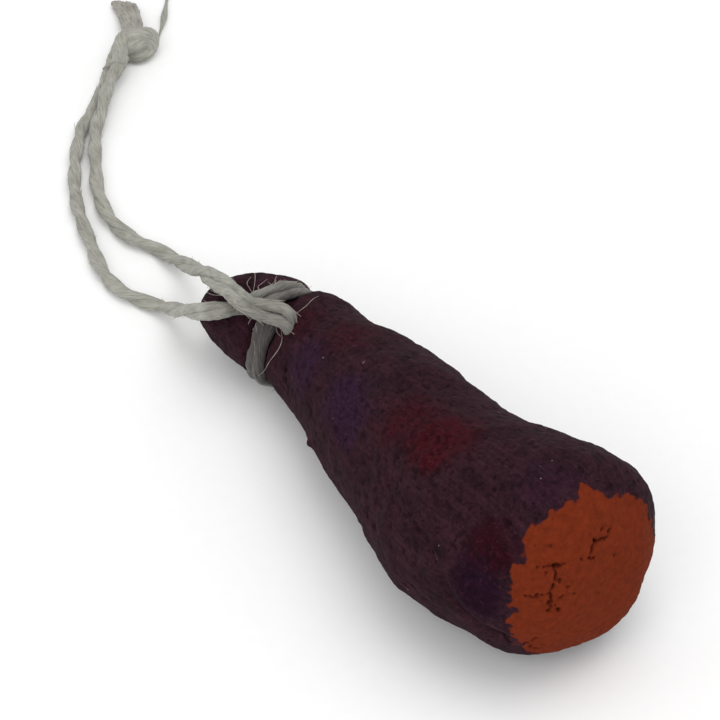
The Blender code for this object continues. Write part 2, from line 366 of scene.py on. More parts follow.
def add_node(tree, kind, inputs=None, out=0, **settings):
    """Adds a node with its settings, sets or links its inputs, and gives one of its outputs."""
    made = tree.nodes.new("ShaderNode" + kind)
    for key, value in settings.items():
        setattr(made, key, value)
    for key, value in (inputs or {}).items():
        if isinstance(value, bpy.types.NodeSocket):
            tree.links.new(value, made.inputs[key])
        else:
            made.inputs[key].default_value = value
    return made.outputs[out] if made.outputs else None


def new_material(name):
    """An empty node material and its tree."""
    material = bpy.data.materials.new(name)
    material.use_nodes = True
    material.node_tree.nodes.clear()
    return material, material.node_tree


# Matt water-based paint on terracotta: the thin coats leave violet, red and
# magenta clouds, pale dust on the grain and fine brush lines along the body.
# The bare cut end is dry, open-pored fired clay. Both are chalky and scatter
# nearly all light, so their gloss is far below that of a smooth coat.
# Painted shade darkens the fold, pocks, pits, cracks, pores and pin holes.
MAROON = "#331B23"
MAROON_DARK = "#241219"
DUST = "#4B353B"
# Near-black colour of the painted shade in holes, pores, pits and cracks
HOLE_SHADE_COLOUR = "#10060A"
SPECK = "#9A8680"
TERRACOTTA = "#612411"
TERRACOTTA_LIGHT = "#732C16"
TERRACOTTA_DARK = "#3A140B"
PAINT_ROUGHNESS = 0.78
CLAY_ROUGHNESS = 0.92
CHALKY_GLOSS = 0.05
# Clouds in the paint: centre, size, colour and strength
CLOUDS = [
    ((-9.3, -2.1, 8.9), 3.4, "#2E182B", 0.9), ((-2.5, -3.4, 10.8), 3.4, "#2D172B", 0.95),
    ((0.2, -4.6, 11.2), 2.8, "#2D172B", 0.9), ((5.0, -2.6, 13.8), 3.6, "#360F17", 0.95),
    ((9.6, -3.0, 15.4), 4.2, "#390C14", 1.0), ((11.0, -5.0, 15.0), 1.5, "#3E0A14", 0.8),
    ((20.5, -6.7, 14.4), 3.3, "#290511", 0.95), ((20.7, -8.1, 11.1), 3.6, "#1F081A", 1.0),
    ((17.2, -8.8, 7.6), 2.6, "#27141B", 0.8), ((-8.0, 1.6, 10.2), 3.4, "#34121A", 0.8),
    ((20.2, -6.2, 16.6), 0.9, "#12060A", 0.8), ((-0.5, -1.0, 12.0), 2.2, "#2B1B25", 0.6),
    ((-13.5, 0.5, 9.5), 2.6, "#31101A", 0.7), ((20.0, -1.0, 18.0), 3.4, "#2B1522", 0.7),
]

# Patterns are laid out in millimetres: a scale of 5 puts about five lumps in each.
clay_paint, tree = new_material("matt_paint_on_terracotta")
place = add_node(tree, "TexCoord", out="Object")
in_mm = add_node(tree, "VectorMath", {0: place, 1: (1 / MM,) * 3}, operation="MULTIPLY")
warp = add_node(tree, "TexNoise", {"Vector": in_mm, "Scale": 0.8, "Detail": 3.0}, out=1)
warped = add_node(
    tree, "VectorMath", {0: warp, 1: (2.6,) * 3, 2: in_mm}, operation="MULTIPLY_ADD"
)
warped = add_node(tree, "VectorMath", {0: warped, 1: (-1.3,) * 3}, operation="ADD")
mottle = add_node(
    tree, "TexNoise", {"Vector": in_mm, "Scale": 0.55, "Detail": 5.0, "Roughness": 0.62}
)
mottle = add_node(tree, "MapRange", {0: mottle, 1: 0.30, 2: 0.62})
colour = add_node(
    tree, "Mix", {0: mottle, 6: linear(MAROON_DARK), 7: linear(MAROON)}, 2, data_type="RGBA"
)
for centre, size, tint, strength in CLOUDS:
    away = add_node(tree, "VectorMath", {0: warped, 1: centre}, "Value", operation="DISTANCE")
    share = add_node(
        tree, "MapRange", {0: away, 1: size, 2: 0.35 * size, 3: 0.0, 4: strength},
        interpolation_type="SMOOTHSTEP",
    )
    colour = add_node(
        tree, "Mix", {0: share, 6: colour, 7: linear(tint)}, 2, data_type="RGBA"
    )

# Brush lines 0.3 mm apart run along the body.
lines = add_node(tree, "VectorMath", {0: in_mm, 1: (0.22, 3.2, 3.2)}, operation="MULTIPLY")
lines = add_node(tree, "TexNoise", {"Vector": lines, "Scale": 1.0, "Detail": 3.0})
line_light = add_node(tree, "MapRange", {0: lines, 1: 0.3, 2: 0.7, 3: 0.72, 4: 1.26})
colour = add_node(
    tree, "VectorMath", {0: colour, 1: line_light}, operation="MULTIPLY"
)

# Grain of the clay under the paint, about 0.3 mm, catches pale dust on its tops.
grain = add_node(
    tree, "TexNoise", {"Vector": in_mm, "Scale": 3.4, "Detail": 4.0, "Roughness": 0.7}
)
dust = add_node(tree, "MapRange", {0: grain, 1: 0.56, 2: 0.74, 3: 0.0, 4: 0.42})
colour = add_node(tree, "Mix", {0: dust, 6: colour, 7: linear(DUST)}, 2, data_type="RGBA")
# Painted shade in the pores, the low spots of the grain
pore_shade = add_node(tree, "MapRange", {0: grain, 1: 0.45, 2: 0.33, 3: 0.0, 4: 0.85})
colour = add_node(tree, "Mix", {0: pore_shade, 6: colour, 7: linear(HOLE_SHADE_COLOUR)}, 2, data_type="RGBA")

# Pin holes about 0.25 mm wide where the paint did not reach, coloured near black as
# painted shade in the holes, and a few pale specks of dust: their spacing, radius, colour and
# strength
SPOTS = ((1.0, 0.17, HOLE_SHADE_COLOUR, 0.9), (2.4, 0.13, SPECK, 0.85))
for spacing, size, tint, strength in SPOTS:
    holes = add_node(
        tree, "TexVoronoi", {"Vector": warped, "Scale": 1 / spacing, "Randomness": 1.0}
    )
    spot = add_node(
        tree, "MapRange",
        {0: holes, 1: size / spacing, 2: 0.4 * size / spacing, 3: 0.0, 4: strength},
    )
    colour = add_node(
        tree, "Mix", {0: spot, 6: colour, 7: linear(tint)}, 2, data_type="RGBA"
    )

# Bare clay with darker crumbs
crumbs = add_node(
    tree, "TexNoise", {"Vector": in_mm, "Scale": 1.6, "Detail": 6.0, "Roughness": 0.7}
)
fired = add_node(tree, "MapRange", {0: crumbs, 1: 0.35, 2: 0.65})
clay = add_node(
    tree, "Mix", {0: fired, 6: linear(TERRACOTTA), 7: linear(TERRACOTTA_LIGHT)}, 2,
    data_type="RGBA",
)
specks = add_node(tree, "MapRange", {0: grain, 1: 0.38, 2: 0.30, 3: 0.0, 4: 0.6})
clay = add_node(tree, "Mix", {0: specks, 6: clay, 7: linear(TERRACOTTA_DARK)}, 2, data_type="RGBA")

inside = add_node(tree, "Attribute", out="Fac", attribute_name="inside_edge")
ragged = add_node(tree, "TexNoise", {"Vector": in_mm, "Scale": 5.0, "Detail": 2.0})
ragged = add_node(tree, "MapRange", {0: ragged, 1: 0.0, 2: 1.0, 3: -0.12, 4: 0.12})
inside = add_node(tree, "Math", {0: inside, 1: ragged}, operation="ADD")
is_bare = add_node(tree, "MapRange", {0: inside, 1: -0.10, 2: 0.12})
colour = add_node(tree, "Mix", {0: is_bare, 6: colour, 7: clay}, 2, data_type="RGBA")
# Painted shade at the bottoms of the fold, pocks, pits and cracks
hollow_shade = add_node(tree, "Attribute", out="Fac", attribute_name="hollow_shade")
colour = add_node(tree, "Mix", {0: hollow_shade, 6: colour, 7: linear(HOLE_SHADE_COLOUR)}, 2, data_type="RGBA")

dullness = add_node(tree, "MapRange", {0: is_bare, 3: PAINT_ROUGHNESS, 4: CLAY_ROUGHNESS})
dullness = add_node(tree, "Math", {0: grain, 1: 0.16, 2: dullness}, operation="MULTIPLY_ADD")
dullness = add_node(tree, "Math", {0: dullness, 1: -0.08}, operation="ADD")
fine = add_node(tree, "TexNoise", {"Vector": in_mm, "Scale": 6.5, "Detail": 3.0, "Roughness": 0.6})
relief = add_node(tree, "Math", {0: grain, 1: 0.6, 2: fine}, operation="MULTIPLY_ADD")
relief = add_node(tree, "Bump", {"Height": relief, "Strength": 0.9, "Distance": 0.08 * MM})
surface = add_node(
    tree, "BsdfPrincipled",
    {"Base Color": colour, "Roughness": dullness, "IOR": 1.5,
     "Specular IOR Level": CHALKY_GLOSS, "Normal": relief},
)
add_node(tree, "OutputMaterial", {"Surface": surface})
clay_body.data.materials.append(clay_paint)
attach(clay_body, "root")
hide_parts("loin_body")


# ---------------------------------------------------------------------------
# The two strands
# One length of natural two-ply twine, spun from loose bast fibres. Its free
# halves run off the head side by side, drop to the surface and meet again in
# the end knot. Beside the neck the tie has pushed their plies apart.
# ---------------------------------------------------------------------------

PLY = 0.41
PLY_SIDES = 32
PLY_STEP = 0.10
PLY_FLATTENING = 0.10
# A ply grows thicker and thinner: by how much, waves per millimetre and seed
THICK_AND_THIN = ((0.05, 0.5, 0), (0.03, 1.7, 40))
# Bundles of fibres: ridges round a ply and their height; one turns round it in FIBRE_TURN
FIBRE_TURN = 11.0
FIBRE_RIDGES = ((4, 0.045), (7, 0.045), (11, 0.038), (15, 0.028))
# The ridges drift sideways and fade in and out: by how much and waves per millimetre
RIDGE_DRIFT = (0.9, 0.45)
RIDGE_STRENGTH = 0.65
RIDGE_FADE = (0.6, 0.8)
UPPER_ROUTE = [
    (-17.9, -2.3, 9.85), (-19.2, -2.2, 9.7), (-21.1, -1.8, 9.0), (-23.0, -1.4, 8.2),
    (-24.9, -0.9, 7.2), (-27.1, -0.2, 5.7), (-29.7, 0.7, 3.9), (-32.2, 1.5, 2.3),
    (-34.3, 1.8, 1.2), (-35.9, 1.8, 0.75), (-37.2, 1.6, 0.62), (-38.4, 1.2, 0.62),
    (-39.9, 0.7, 0.62), (-42.2, 0.5, 0.62), (-44.6, 0.9, 0.62), (-47.2, 1.9, 0.62),
    (-49.8, 3.4, 0.62), (-52.5, 5.1, 0.7), (-54.5, 6.6, 1.0), (-55.9, 8.1, 1.4),
    (-57.4, 9.6, 1.7), (-58.9, 11.2, 1.75), (-60.1, 12.8, 1.75), (-60.9, 13.9, 1.75),
]
LOWER_ROUTE = [
    (-19.5, -2.3, 8.15), (-20.7, -2.8, 7.4), (-21.7, -3.1, 6.85), (-22.8, -3.4, 6.15),
    (-24.1, -3.4, 5.2), (-25.7, -3.15, 4.0), (-27.4, -2.75, 2.7), (-29.1, -2.5, 1.55),
    (-30.6, -2.6, 0.85), (-31.8, -3.05, 0.64), (-34.0, -3.9, 0.62), (-36.4, -4.1, 0.62),
    (-39.4, -3.4, 0.62), (-42.5, -2.3, 0.62), (-45.5, -1.2, 0.62), (-48.2, 0.1, 0.62),
    (-50.9, 1.8, 0.62), (-53.2, 3.6, 0.62), (-55.4, 5.5, 0.62), (-56.9, 7.4, 0.62),
    (-58.1, 9.1, 0.62), (-59.5, 10.6, 0.62), (-60.8, 12.0, 0.62), (-61.7, 13.3, 0.62),
]
# The plies turn round each other once in LAY, not quite evenly.
LAY = 8.0
TWIST_WANDER = 0.06
TWIST_WAVES = 0.2
TWIST_CALM = 4
PLIES_APART = 0.18
APART_AT_NECK = 0.47
# How far from the neck the plies stay swollen and stay loose, and their lay there
UPPER_LOOSENESS = (14.0, 18.0, 60.0)
LOWER_LOOSENESS = (6.0, 10.0, 26.0)
NECK_SWELL = 0.16
# Twine and hairs stay this far above the surface that the loin lies on.
LOWEST = 0.01


def smooth_route(points, step):
    """Points every step along a smooth curve through a route's own points."""
    path = np.array(points, float)
    path = np.concatenate([[2 * path[0] - path[1]], path, [2 * path[-1] - path[-2]]])
    dense = []
    for a, b, c, d in zip(path, path[1:], path[2:], path[3:]):
        t = np.linspace(0, 1, 40, endpoint=False)[:, None]
        dense.append(0.5 * (2 * b + (c - a) * t + (2 * a - 5 * b + 4 * c - d) * t**2
                            + (3 * b - a - 3 * c + d) * t**3))
    dense = np.concatenate(dense + [path[-2:-1]])
    walked = walked_along(dense)
    at = np.linspace(0, walked[-1], max(3, round(walked[-1] / step) + 1))
    return np.stack([np.interp(at, walked, dense[:, k]) for k in range(3)], -1)


def walked_along(path):
    """Distance walked along a path at each of its points."""
    return np.concatenate([[0], np.cumsum(np.linalg.norm(np.diff(path, axis=0), axis=1))])


def carried_frames(path):
    """Two directions square to a path, carried along it without twisting."""
    heading = np.gradient(path, axis=0)
    heading /= np.linalg.norm(heading, axis=1, keepdims=True)
    side = np.cross(heading[0], (0.0, 0.0, 1.0))
    if np.linalg.norm(side) < 0.2:
        side = np.cross(heading[0], (0.0, 1.0, 0.0))
    sides = []
    for direction in heading:
        side = side - direction * (side @ direction)
        side /= np.linalg.norm(side)
        sides.append(side)
    sides = np.array(sides)
    return sides, np.cross(heading, sides)


def wavering(s, rate, seed):
    """A slow random wave along a length, from about -1 to 1."""
    return np.array([2 * noise.noise((v * rate, seed * 7.7, seed * 1.3)) for v in s.ravel()])


def laid_plies(route, start_turn, looseness, seed):
    """The middle line of a twine and its two plies, twisted round each other."""
    swollen, loose, neck_lay = looseness
    path = smooth_route(route, PLY_STEP)
    sides, ups = carried_frames(path)
    s = walked_along(path)
    rate = 1 / LAY + (1 / neck_lay - 1 / LAY) * np.exp(-((s / loose) ** 2))
    turns = np.concatenate([[0], np.cumsum((rate[1:] + rate[:-1]) / 2 * np.diff(s))])
    wander = TWIST_WANDER * wavering(s, TWIST_WAVES, seed) * np.minimum(1, s / TWIST_CALM)
    turn = start_turn - 2 * math.pi * (turns + wander)
    near_neck = np.exp(-s / swollen)
    apart = PLIES_APART + (APART_AT_NECK - PLIES_APART) * near_neck
    swell = PLY * (1 + NECK_SWELL * near_neck)
    plies = []
    for k in range(2):
        angle = (turn + k * math.pi)[:, None]
        offset = apart[:, None] * (sides * np.cos(angle) + ups * np.sin(angle))
        plies.append((path + offset, swell, seed + k))
    return path, plies


def ply_skin(path, radius, seed):
    """Rings round one ply, ridged by its loosely spun fibres, and its fibre pattern."""
    sides, ups = carried_frames(path)
    s = walked_along(path)[:, None]
    turn = np.linspace(0, 2 * math.pi, PLY_SIDES, endpoint=False)[None, :]
    slant = turn + s * 2 * math.pi / FIBRE_TURN
    shape = 1.0
    for height, rate, step in THICK_AND_THIN:
        shape = shape + height * wavering(s, rate, seed + step)[:, None]
    for ridges, height in FIBRE_RIDGES:
        drift = RIDGE_DRIFT[0] * wavering(s, RIDGE_DRIFT[1], seed + ridges)[:, None]
        fade = RIDGE_FADE[0] * wavering(s, RIDGE_FADE[1], seed + 3 * ridges)[:, None]
        fade = RIDGE_STRENGTH + fade
        shape = shape + height * fade * np.sin(ridges * slant + drift + seed * ridges)
    r = np.reshape(radius, (-1, 1)) * shape
    wide = (r * (1 + PLY_FLATTENING) * np.cos(turn))[..., None]
    high = (r * (1 - PLY_FLATTENING) * np.sin(turn))[..., None]
    rings = path[:, None, :] + sides[:, None, :] * wide + ups[:, None, :] * high
    pattern = np.stack(np.broadcast_arrays(slant * PLY, s, float(seed)), -1)
    return rings, pattern


def make_twine(name, plies):
    """One piece of several plies; each is its middle line, its radius and a seed."""
    points, faces, patterns = [], [], []
    first = 0
    for path, radius, seed in plies:
        rings, pattern = ply_skin(path, radius, seed)
        last = first + (len(rings) - 1) * PLY_SIDES
        points += [rings.reshape(-1, 3), path[:1], path[-1:]]
        patterns += [pattern.reshape(-1, 3), pattern[:1, 0], pattern[-1:, 0]]
        for k in range(PLY_SIDES):
            after = (k + 1) % PLY_SIDES
            for here in range(first, last, PLY_SIDES):
                there = here + PLY_SIDES
                faces.append((here + k, here + after, there + after, there + k))
            faces.append((last + PLY_SIDES, first + after, first + k))
            faces.append((last + PLY_SIDES + 1, last + k, last + after))
        first = last + PLY_SIDES + 2
    points = np.concatenate(points)
    points[:, 2] = np.maximum(points[:, 2], LOWEST)
    piece = make_mesh(name, points, faces)
    pattern = piece.data.attributes.new("fibre_pattern", "FLOAT_VECTOR", "POINT")
    pattern.data.foreach_set("vector", np.concatenate(patterns).astype(np.float32).ravel())
    piece.data.materials.append(twine)
    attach(piece, "root")
    return piece


# Undyed bast twine, spun: dull greyish cream with streaks along the fibres and painted
# greenish shade in the grooves between them; round the neck darker, partly stained with
# the maroon paint and partly painted shade.
TWINE_PALE = "#A5A49B"
TWINE_GREY = "#86867B"
TWINE_GROOVE_SHADE = "#686959"
# Colour of the painted shade in the grooves between the fibres
TWINE_STAIN_AND_SHADE = "#403A3A"
# Darker twine round the neck: partly maroon paint stain, partly painted shade
TWINE_STAIN_AND_SHADE_DARK = "#1E181A"
STAIN_AND_SHADE_PLACE = (-16.2, 0.6, 4.8)
STAIN_AND_SHADE_WITHIN = 4.6
UNDARKENED_BEYOND = 8.6

twine, tree = new_material("natural_bast_twine")
pattern = add_node(tree, "Attribute", out="Vector", attribute_name="fibre_pattern")
# Bundles of fibres, 0.06 mm, are drawn 0.09 mm wide so that they show.
streak_place = add_node(tree, "VectorMath", {0: pattern, 1: (11.0, 0.9, 3.7)}, operation="MULTIPLY")
streaks = add_node(
    tree, "TexNoise", {"Vector": streak_place, "Scale": 1.0, "Detail": 4.0, "Roughness": 0.6}
)
pale = add_node(tree, "MapRange", {0: streaks, 1: 0.34, 2: 0.58})
colour = add_node(
    tree, "Mix", {0: pale, 6: linear(TWINE_GREY), 7: linear(TWINE_PALE)}, 2, data_type="RGBA"
)
# Painted shade, slightly green, in the grooves between fibre bundles
fibre_groove_shade = add_node(tree, "MapRange", {0: streaks, 1: 0.36, 2: 0.24, 3: 0.0, 4: 0.7})
colour = add_node(
    tree, "Mix", {0: fibre_groove_shade, 6: colour, 7: linear(TWINE_GROOVE_SHADE)}, 2, data_type="RGBA"
)
place = add_node(tree, "TexCoord", out="Object")
in_mm = add_node(tree, "VectorMath", {0: place, 1: (1 / MM,) * 3}, operation="MULTIPLY")
blotch = add_node(tree, "TexNoise", {"Vector": in_mm, "Scale": 0.7, "Detail": 2.0})
tone = add_node(tree, "MapRange", {0: blotch, 1: 0.3, 2: 0.7, 3: 0.86, 4: 1.1})
colour = add_node(tree, "VectorMath", {0: colour, 1: tone}, operation="MULTIPLY")
# Round the neck the twine turns darker: partly paint stain, partly painted shade
away = add_node(tree, "VectorMath", {0: in_mm, 1: STAIN_AND_SHADE_PLACE}, "Value", operation="DISTANCE")
away = add_node(tree, "Math", {0: blotch, 1: 2.0, 2: away}, operation="MULTIPLY_ADD")
stain_and_shade_share = add_node(
    tree, "MapRange", {0: away, 1: UNDARKENED_BEYOND, 2: STAIN_AND_SHADE_WITHIN, 3: 0.0, 4: 0.9}
)
stained_and_shaded = add_node(
    tree, "Mix", {0: pale, 6: linear(TWINE_STAIN_AND_SHADE_DARK), 7: linear(TWINE_STAIN_AND_SHADE)}, 2,
    data_type="RGBA",
)
colour = add_node(tree, "Mix", {0: stain_and_shade_share, 6: colour, 7: stained_and_shaded}, 2, data_type="RGBA")
relief = add_node(tree, "Bump", {"Height": streaks, "Strength": 0.8, "Distance": 0.08 * MM})
surface = add_node(
    tree, "BsdfPrincipled",
    {"Base Color": colour, "Roughness": 0.9, "IOR": 1.5, "Sheen Weight": 0.15,
     "Sheen Roughness": 0.5, "Normal": relief},
)
add_node(tree, "OutputMaterial", {"Surface": surface})

upper_path, upper_plies = laid_plies(
    UPPER_ROUTE, start_turn=0.15, looseness=UPPER_LOOSENESS, seed=10
)
lower_path, lower_plies = laid_plies(
    LOWER_ROUTE, start_turn=0.35, looseness=LOWER_LOOSENESS, seed=14
)
upper_twine = make_twine("upper_twine", upper_plies)
lower_twine = make_twine("lower_twine", lower_plies)
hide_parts("upper_strand")
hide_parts("lower_strand")


# ---------------------------------------------------------------------------
# Twine round the neck
# The same twine dips under itself on top of the head, goes once round the
# groove and comes up the front, then doubles back over itself in a flat,
# blunt bend. Its two plies have opened and lie side by side.
# ---------------------------------------------------------------------------

# The plies leave the strands at START_PLY and swell as they open.
START_PLY = 0.36
OVER_PLY = 0.44
RING_PLY = 0.50
BEND_PLY = 0.49
# The tie's thickness: (distance from the strand, radius of a ply)
TIE_THICKNESS = ((0, START_PLY), (1.0, 0.50), (2.0, OVER_PLY), (7.0, OVER_PLY), (9.0, RING_PLY))
RING_LUMPS = 0.22
RING_LUMP_WAVES = 0.8
RING_OFFSET = 0.46
RING_RADIUS = GROOVE_RADIUS + 0.42
RING_WAVER = 0.08
FRONT_SHIFT = 0.30
# It goes from the far side under the neck and up the front: start, end and step, degrees
RING_TURN = (15, -262, -12.0)
# Low in front the ring hangs loose: how far, where and over how many degrees
SAG = 0.35
SAG_AT = 136.0
SAG_SPREAD = 36.0

# From the lower strand, under the upper one, over the head's far edge
OVER_HEAD = [
    [(-19.2, -0.9, 8.8), (-18.95, 0.3, 9.0), (-18.85, 1.5, 8.95), (-18.9, 2.6, 8.6),
     (-19.1, 3.5, 8.0), (-19.1, 4.4, 7.0)],
    [(-18.7, -1.6, 8.4), (-18.3, -0.2, 8.7), (-18.15, 1.1, 8.6), (-18.25, 2.3, 8.3),
     (-18.4, 3.3, 7.8), (-18.4, 4.4, 6.9)],
]
# From the upper strand over the neck, round the blunt end and straight down
BEND_ROUTES = [
    [(-17.0, -1.3, 9.95), (-16.1, -0.62, 10.0), (-15.4, -0.2, 9.95), (-14.9, -0.05, 9.75),
     (-14.55, -0.05, 9.4), (-14.45, -0.1, 8.9), (-14.4, 0.0, 8.3)],
    [(-16.9, -2.1, 9.5), (-15.9, -1.5, 9.35), (-15.1, -1.0, 9.3), (-14.5, -0.72, 9.2),
     (-14.25, -0.65, 9.0), (-14.15, -0.55, 8.6), (-14.2, -0.5, 8.1)],
]
# The tie starts this many steps inside each strand, so that no gap shows.
INSIDE_STRAND = 9
ring_centre = body_centre(np.array([GROOVE_AT]))[0]
ring_turn = np.radians(np.arange(*RING_TURN))
ring_plies, bend_plies = [], []
sagging = np.exp(-(((np.degrees(ring_turn) + SAG_AT) / SAG_SPREAD) ** 2))
for k, side in enumerate((-1, 1)):
    askew = SKEW_SHIFT + SKEW * np.cos(ring_turn - SKEW_TURN)
    waver = RING_WAVER * np.sin(3 * ring_turn + 2 * k)
    shift = FRONT_SHIFT * (0.5 + 0.5 * np.cos(ring_turn - SKEW_TURN))
    reach = RING_RADIUS + SAG * sagging
    round_neck = np.stack([
        ring_centre[0] + askew + shift + waver + side * RING_OFFSET - 2 * SAG * sagging,
        ring_centre[1] + reach * np.cos(ring_turn),
        ring_centre[2] + reach * np.sin(ring_turn),
    ], -1)
    start = lower_plies[k][0][[INSIDE_STRAND, 0]]
    path = smooth_route(np.concatenate([start, OVER_HEAD[k], round_neck]), PLY_STEP)
    s = walked_along(path)
    radius = np.interp(s, *zip(*TIE_THICKNESS))
    lumps = RING_LUMPS * wavering(s, RING_LUMP_WAVES, 50 + k) * np.minimum(1, s / 2)
    radius = radius * (1 + lumps)
    ring_plies.append((path, radius, 30 + k))
    start = upper_plies[k][0][[INSIDE_STRAND, 0]]
    path = smooth_route(np.concatenate([start, BEND_ROUTES[k]]), PLY_STEP)
    radius = np.interp(walked_along(path), (0, 1.0), (START_PLY, BEND_PLY))
    bend_plies.append((path, radius, 33 + k))
neck_ring = make_twine("neck_ring", ring_plies)
neck_bend = make_twine("neck_bend", bend_plies)
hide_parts("neck_binding")
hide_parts("neck_knot")


# ---------------------------------------------------------------------------
# End knot and tails
# Both strands are tied together in one hard overhand knot. One tail is cut
# short and has opened into flat loose plies, the other is a single thin ply.
# ---------------------------------------------------------------------------

# Each visible turn of the knot: its route, its radius and a seed
KNOT_LOOPS = [
    ([(-60.25, 12.8, 1.7), (-61.2, 13.7, 1.8), (-62.4, 14.7, 1.8), (-63.2, 15.6, 2.0),
      (-62.7, 16.3, 2.2), (-61.95, 16.9, 2.1), (-61.5, 17.3, 1.6), (-61.5, 17.2, 0.9)],
     0.64, 20),
    ([(-61.2, 12.6, 0.66), (-62.2, 13.9, 0.8), (-62.9, 14.7, 1.1), (-63.5, 15.6, 1.2),
      (-63.9, 16.6, 1.2), (-63.3, 17.6, 1.2), (-62.5, 17.7, 1.0)], 0.68, 21),
    ([(-64.3, 17.0, 1.1), (-63.35, 18.0, 1.3), (-62.45, 18.05, 1.45), (-61.85, 17.75, 1.2),
      (-61.6, 17.2, 0.9), (-61.65, 16.3, 0.8), (-62.1, 15.5, 0.8), (-62.6, 14.8, 0.8)],
     0.62, 22),
    ([(-62.5, 14.9, 1.2), (-62.2, 15.4, 1.55), (-61.9, 15.9, 1.7), (-61.8, 16.6, 1.75),
      (-62.0, 17.3, 1.5)], 0.66, 44),
    ([(-62.4, 15.4, 0.8), (-61.6, 16.0, 0.75), (-61.45, 16.9, 0.8), (-61.9, 17.5, 1.0)],
     0.62, 45),
    ([(-62.9, 15.1, 0.9), (-62.1, 15.9, 1.2), (-61.9, 16.7, 1.2), (-62.6, 17.1, 1.2),
      (-63.4, 16.6, 1.3), (-64.2, 16.4, 1.2)], 0.70, 23),
]
end_knot = make_twine("end_knot_loops", [
    (smooth_route(points, PLY_STEP), radius, seed) for points, radius, seed in KNOT_LOOPS
])
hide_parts("end_knot")

# The short tail, from its left edge to its right one; each ply is a route and its seed
FRAYED_PLIES = [
    ([(-64.05, 16.4, 1.3), (-66.0, 17.6, 0.95), (-68.0, 18.45, 0.6), (-69.45, 18.9, 0.42),
      (-70.2, 19.0, 0.36)], 24),
    ([(-63.7, 16.65, 1.4), (-65.65, 17.85, 1.05), (-67.75, 18.9, 0.68), (-69.6, 19.5, 0.42)], 25),
    ([(-63.6, 17.05, 1.4), (-65.45, 18.15, 1.05), (-67.35, 19.2, 0.68), (-69.2, 19.95, 0.42)], 26),
    ([(-63.65, 17.5, 1.3), (-65.2, 18.45, 0.95), (-67.0, 19.4, 0.6), (-68.75, 20.25, 0.40)], 27),
    ([(-63.76, 16.5, 1.7), (-66.1, 17.9, 1.15), (-68.2, 18.8, 0.75), (-69.8, 19.25, 0.5)], 28),
    ([(-63.5, 16.85, 1.7), (-65.8, 18.3, 1.15), (-67.7, 19.25, 0.75), (-69.2, 19.8, 0.5)], 19),
]
FRAYED_PLY = 0.42
FRAYED_THINNING = 0.12
frayed_end = []
for points, seed in FRAYED_PLIES:
    path = smooth_route(points, PLY_STEP)
    toward_end = np.linspace(0, 1, len(path))
    frayed_end.append((path, FRAYED_PLY - FRAYED_THINNING * toward_end**4, seed))
frayed_tail = make_twine("frayed_twine_tail", frayed_end)
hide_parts("frayed_tail")

# The thin tail is fluffed out in its middle and a little at its end.
THIN_PLY = 0.07
THIN_FLUFF = 0.17
THIN_END = 0.05
THIN_TAIL_ROUTE = [
    (-62.7, 19.0, 0.55), (-63.5, 19.75, 0.4), (-64.4, 20.6, 0.3), (-65.4, 21.5, 0.3),
    (-66.7, 22.6, 0.28), (-68.6, 24.2, 0.28),
]
path = smooth_route(THIN_TAIL_ROUTE, PLY_STEP)
toward_end = np.linspace(0, 1, len(path))
fluff = np.exp(-((toward_end - 0.5) / 0.2) ** 2)
thin_radius = THIN_PLY + THIN_FLUFF * fluff + THIN_END * toward_end
thin_tail = make_twine("thin_twine_tail", [(path, thin_radius, 29)])
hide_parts("thin_tail")


# ---------------------------------------------------------------------------
# Loose fibres
# Bast twine sheds hairs: short ones stand off the strands, and long ones
# lie curled over the head and the neck. Real hairs are about 0.03 mm thick
# and are drawn 0.05 mm thick so that they show.
# ---------------------------------------------------------------------------

HAIR = 0.05
HAIR_CORNERS = 4
HAIR_STEP = 0.25
SHORT_HAIR = (0.5, 1.6)
SHORT_HAIR_CURL = 0.35
SHORT_HAIR_POINTS = 7
# Short hairs per millimetre of ply, and how far they stand off
STRAND_HAIRS = (0.9, 0.22)
TAIL_HAIRS = (4.0, 0.22)
BEND_HAIRS = (4.0, 0.3)
RING_HAIRS = (1.6, 0.35)
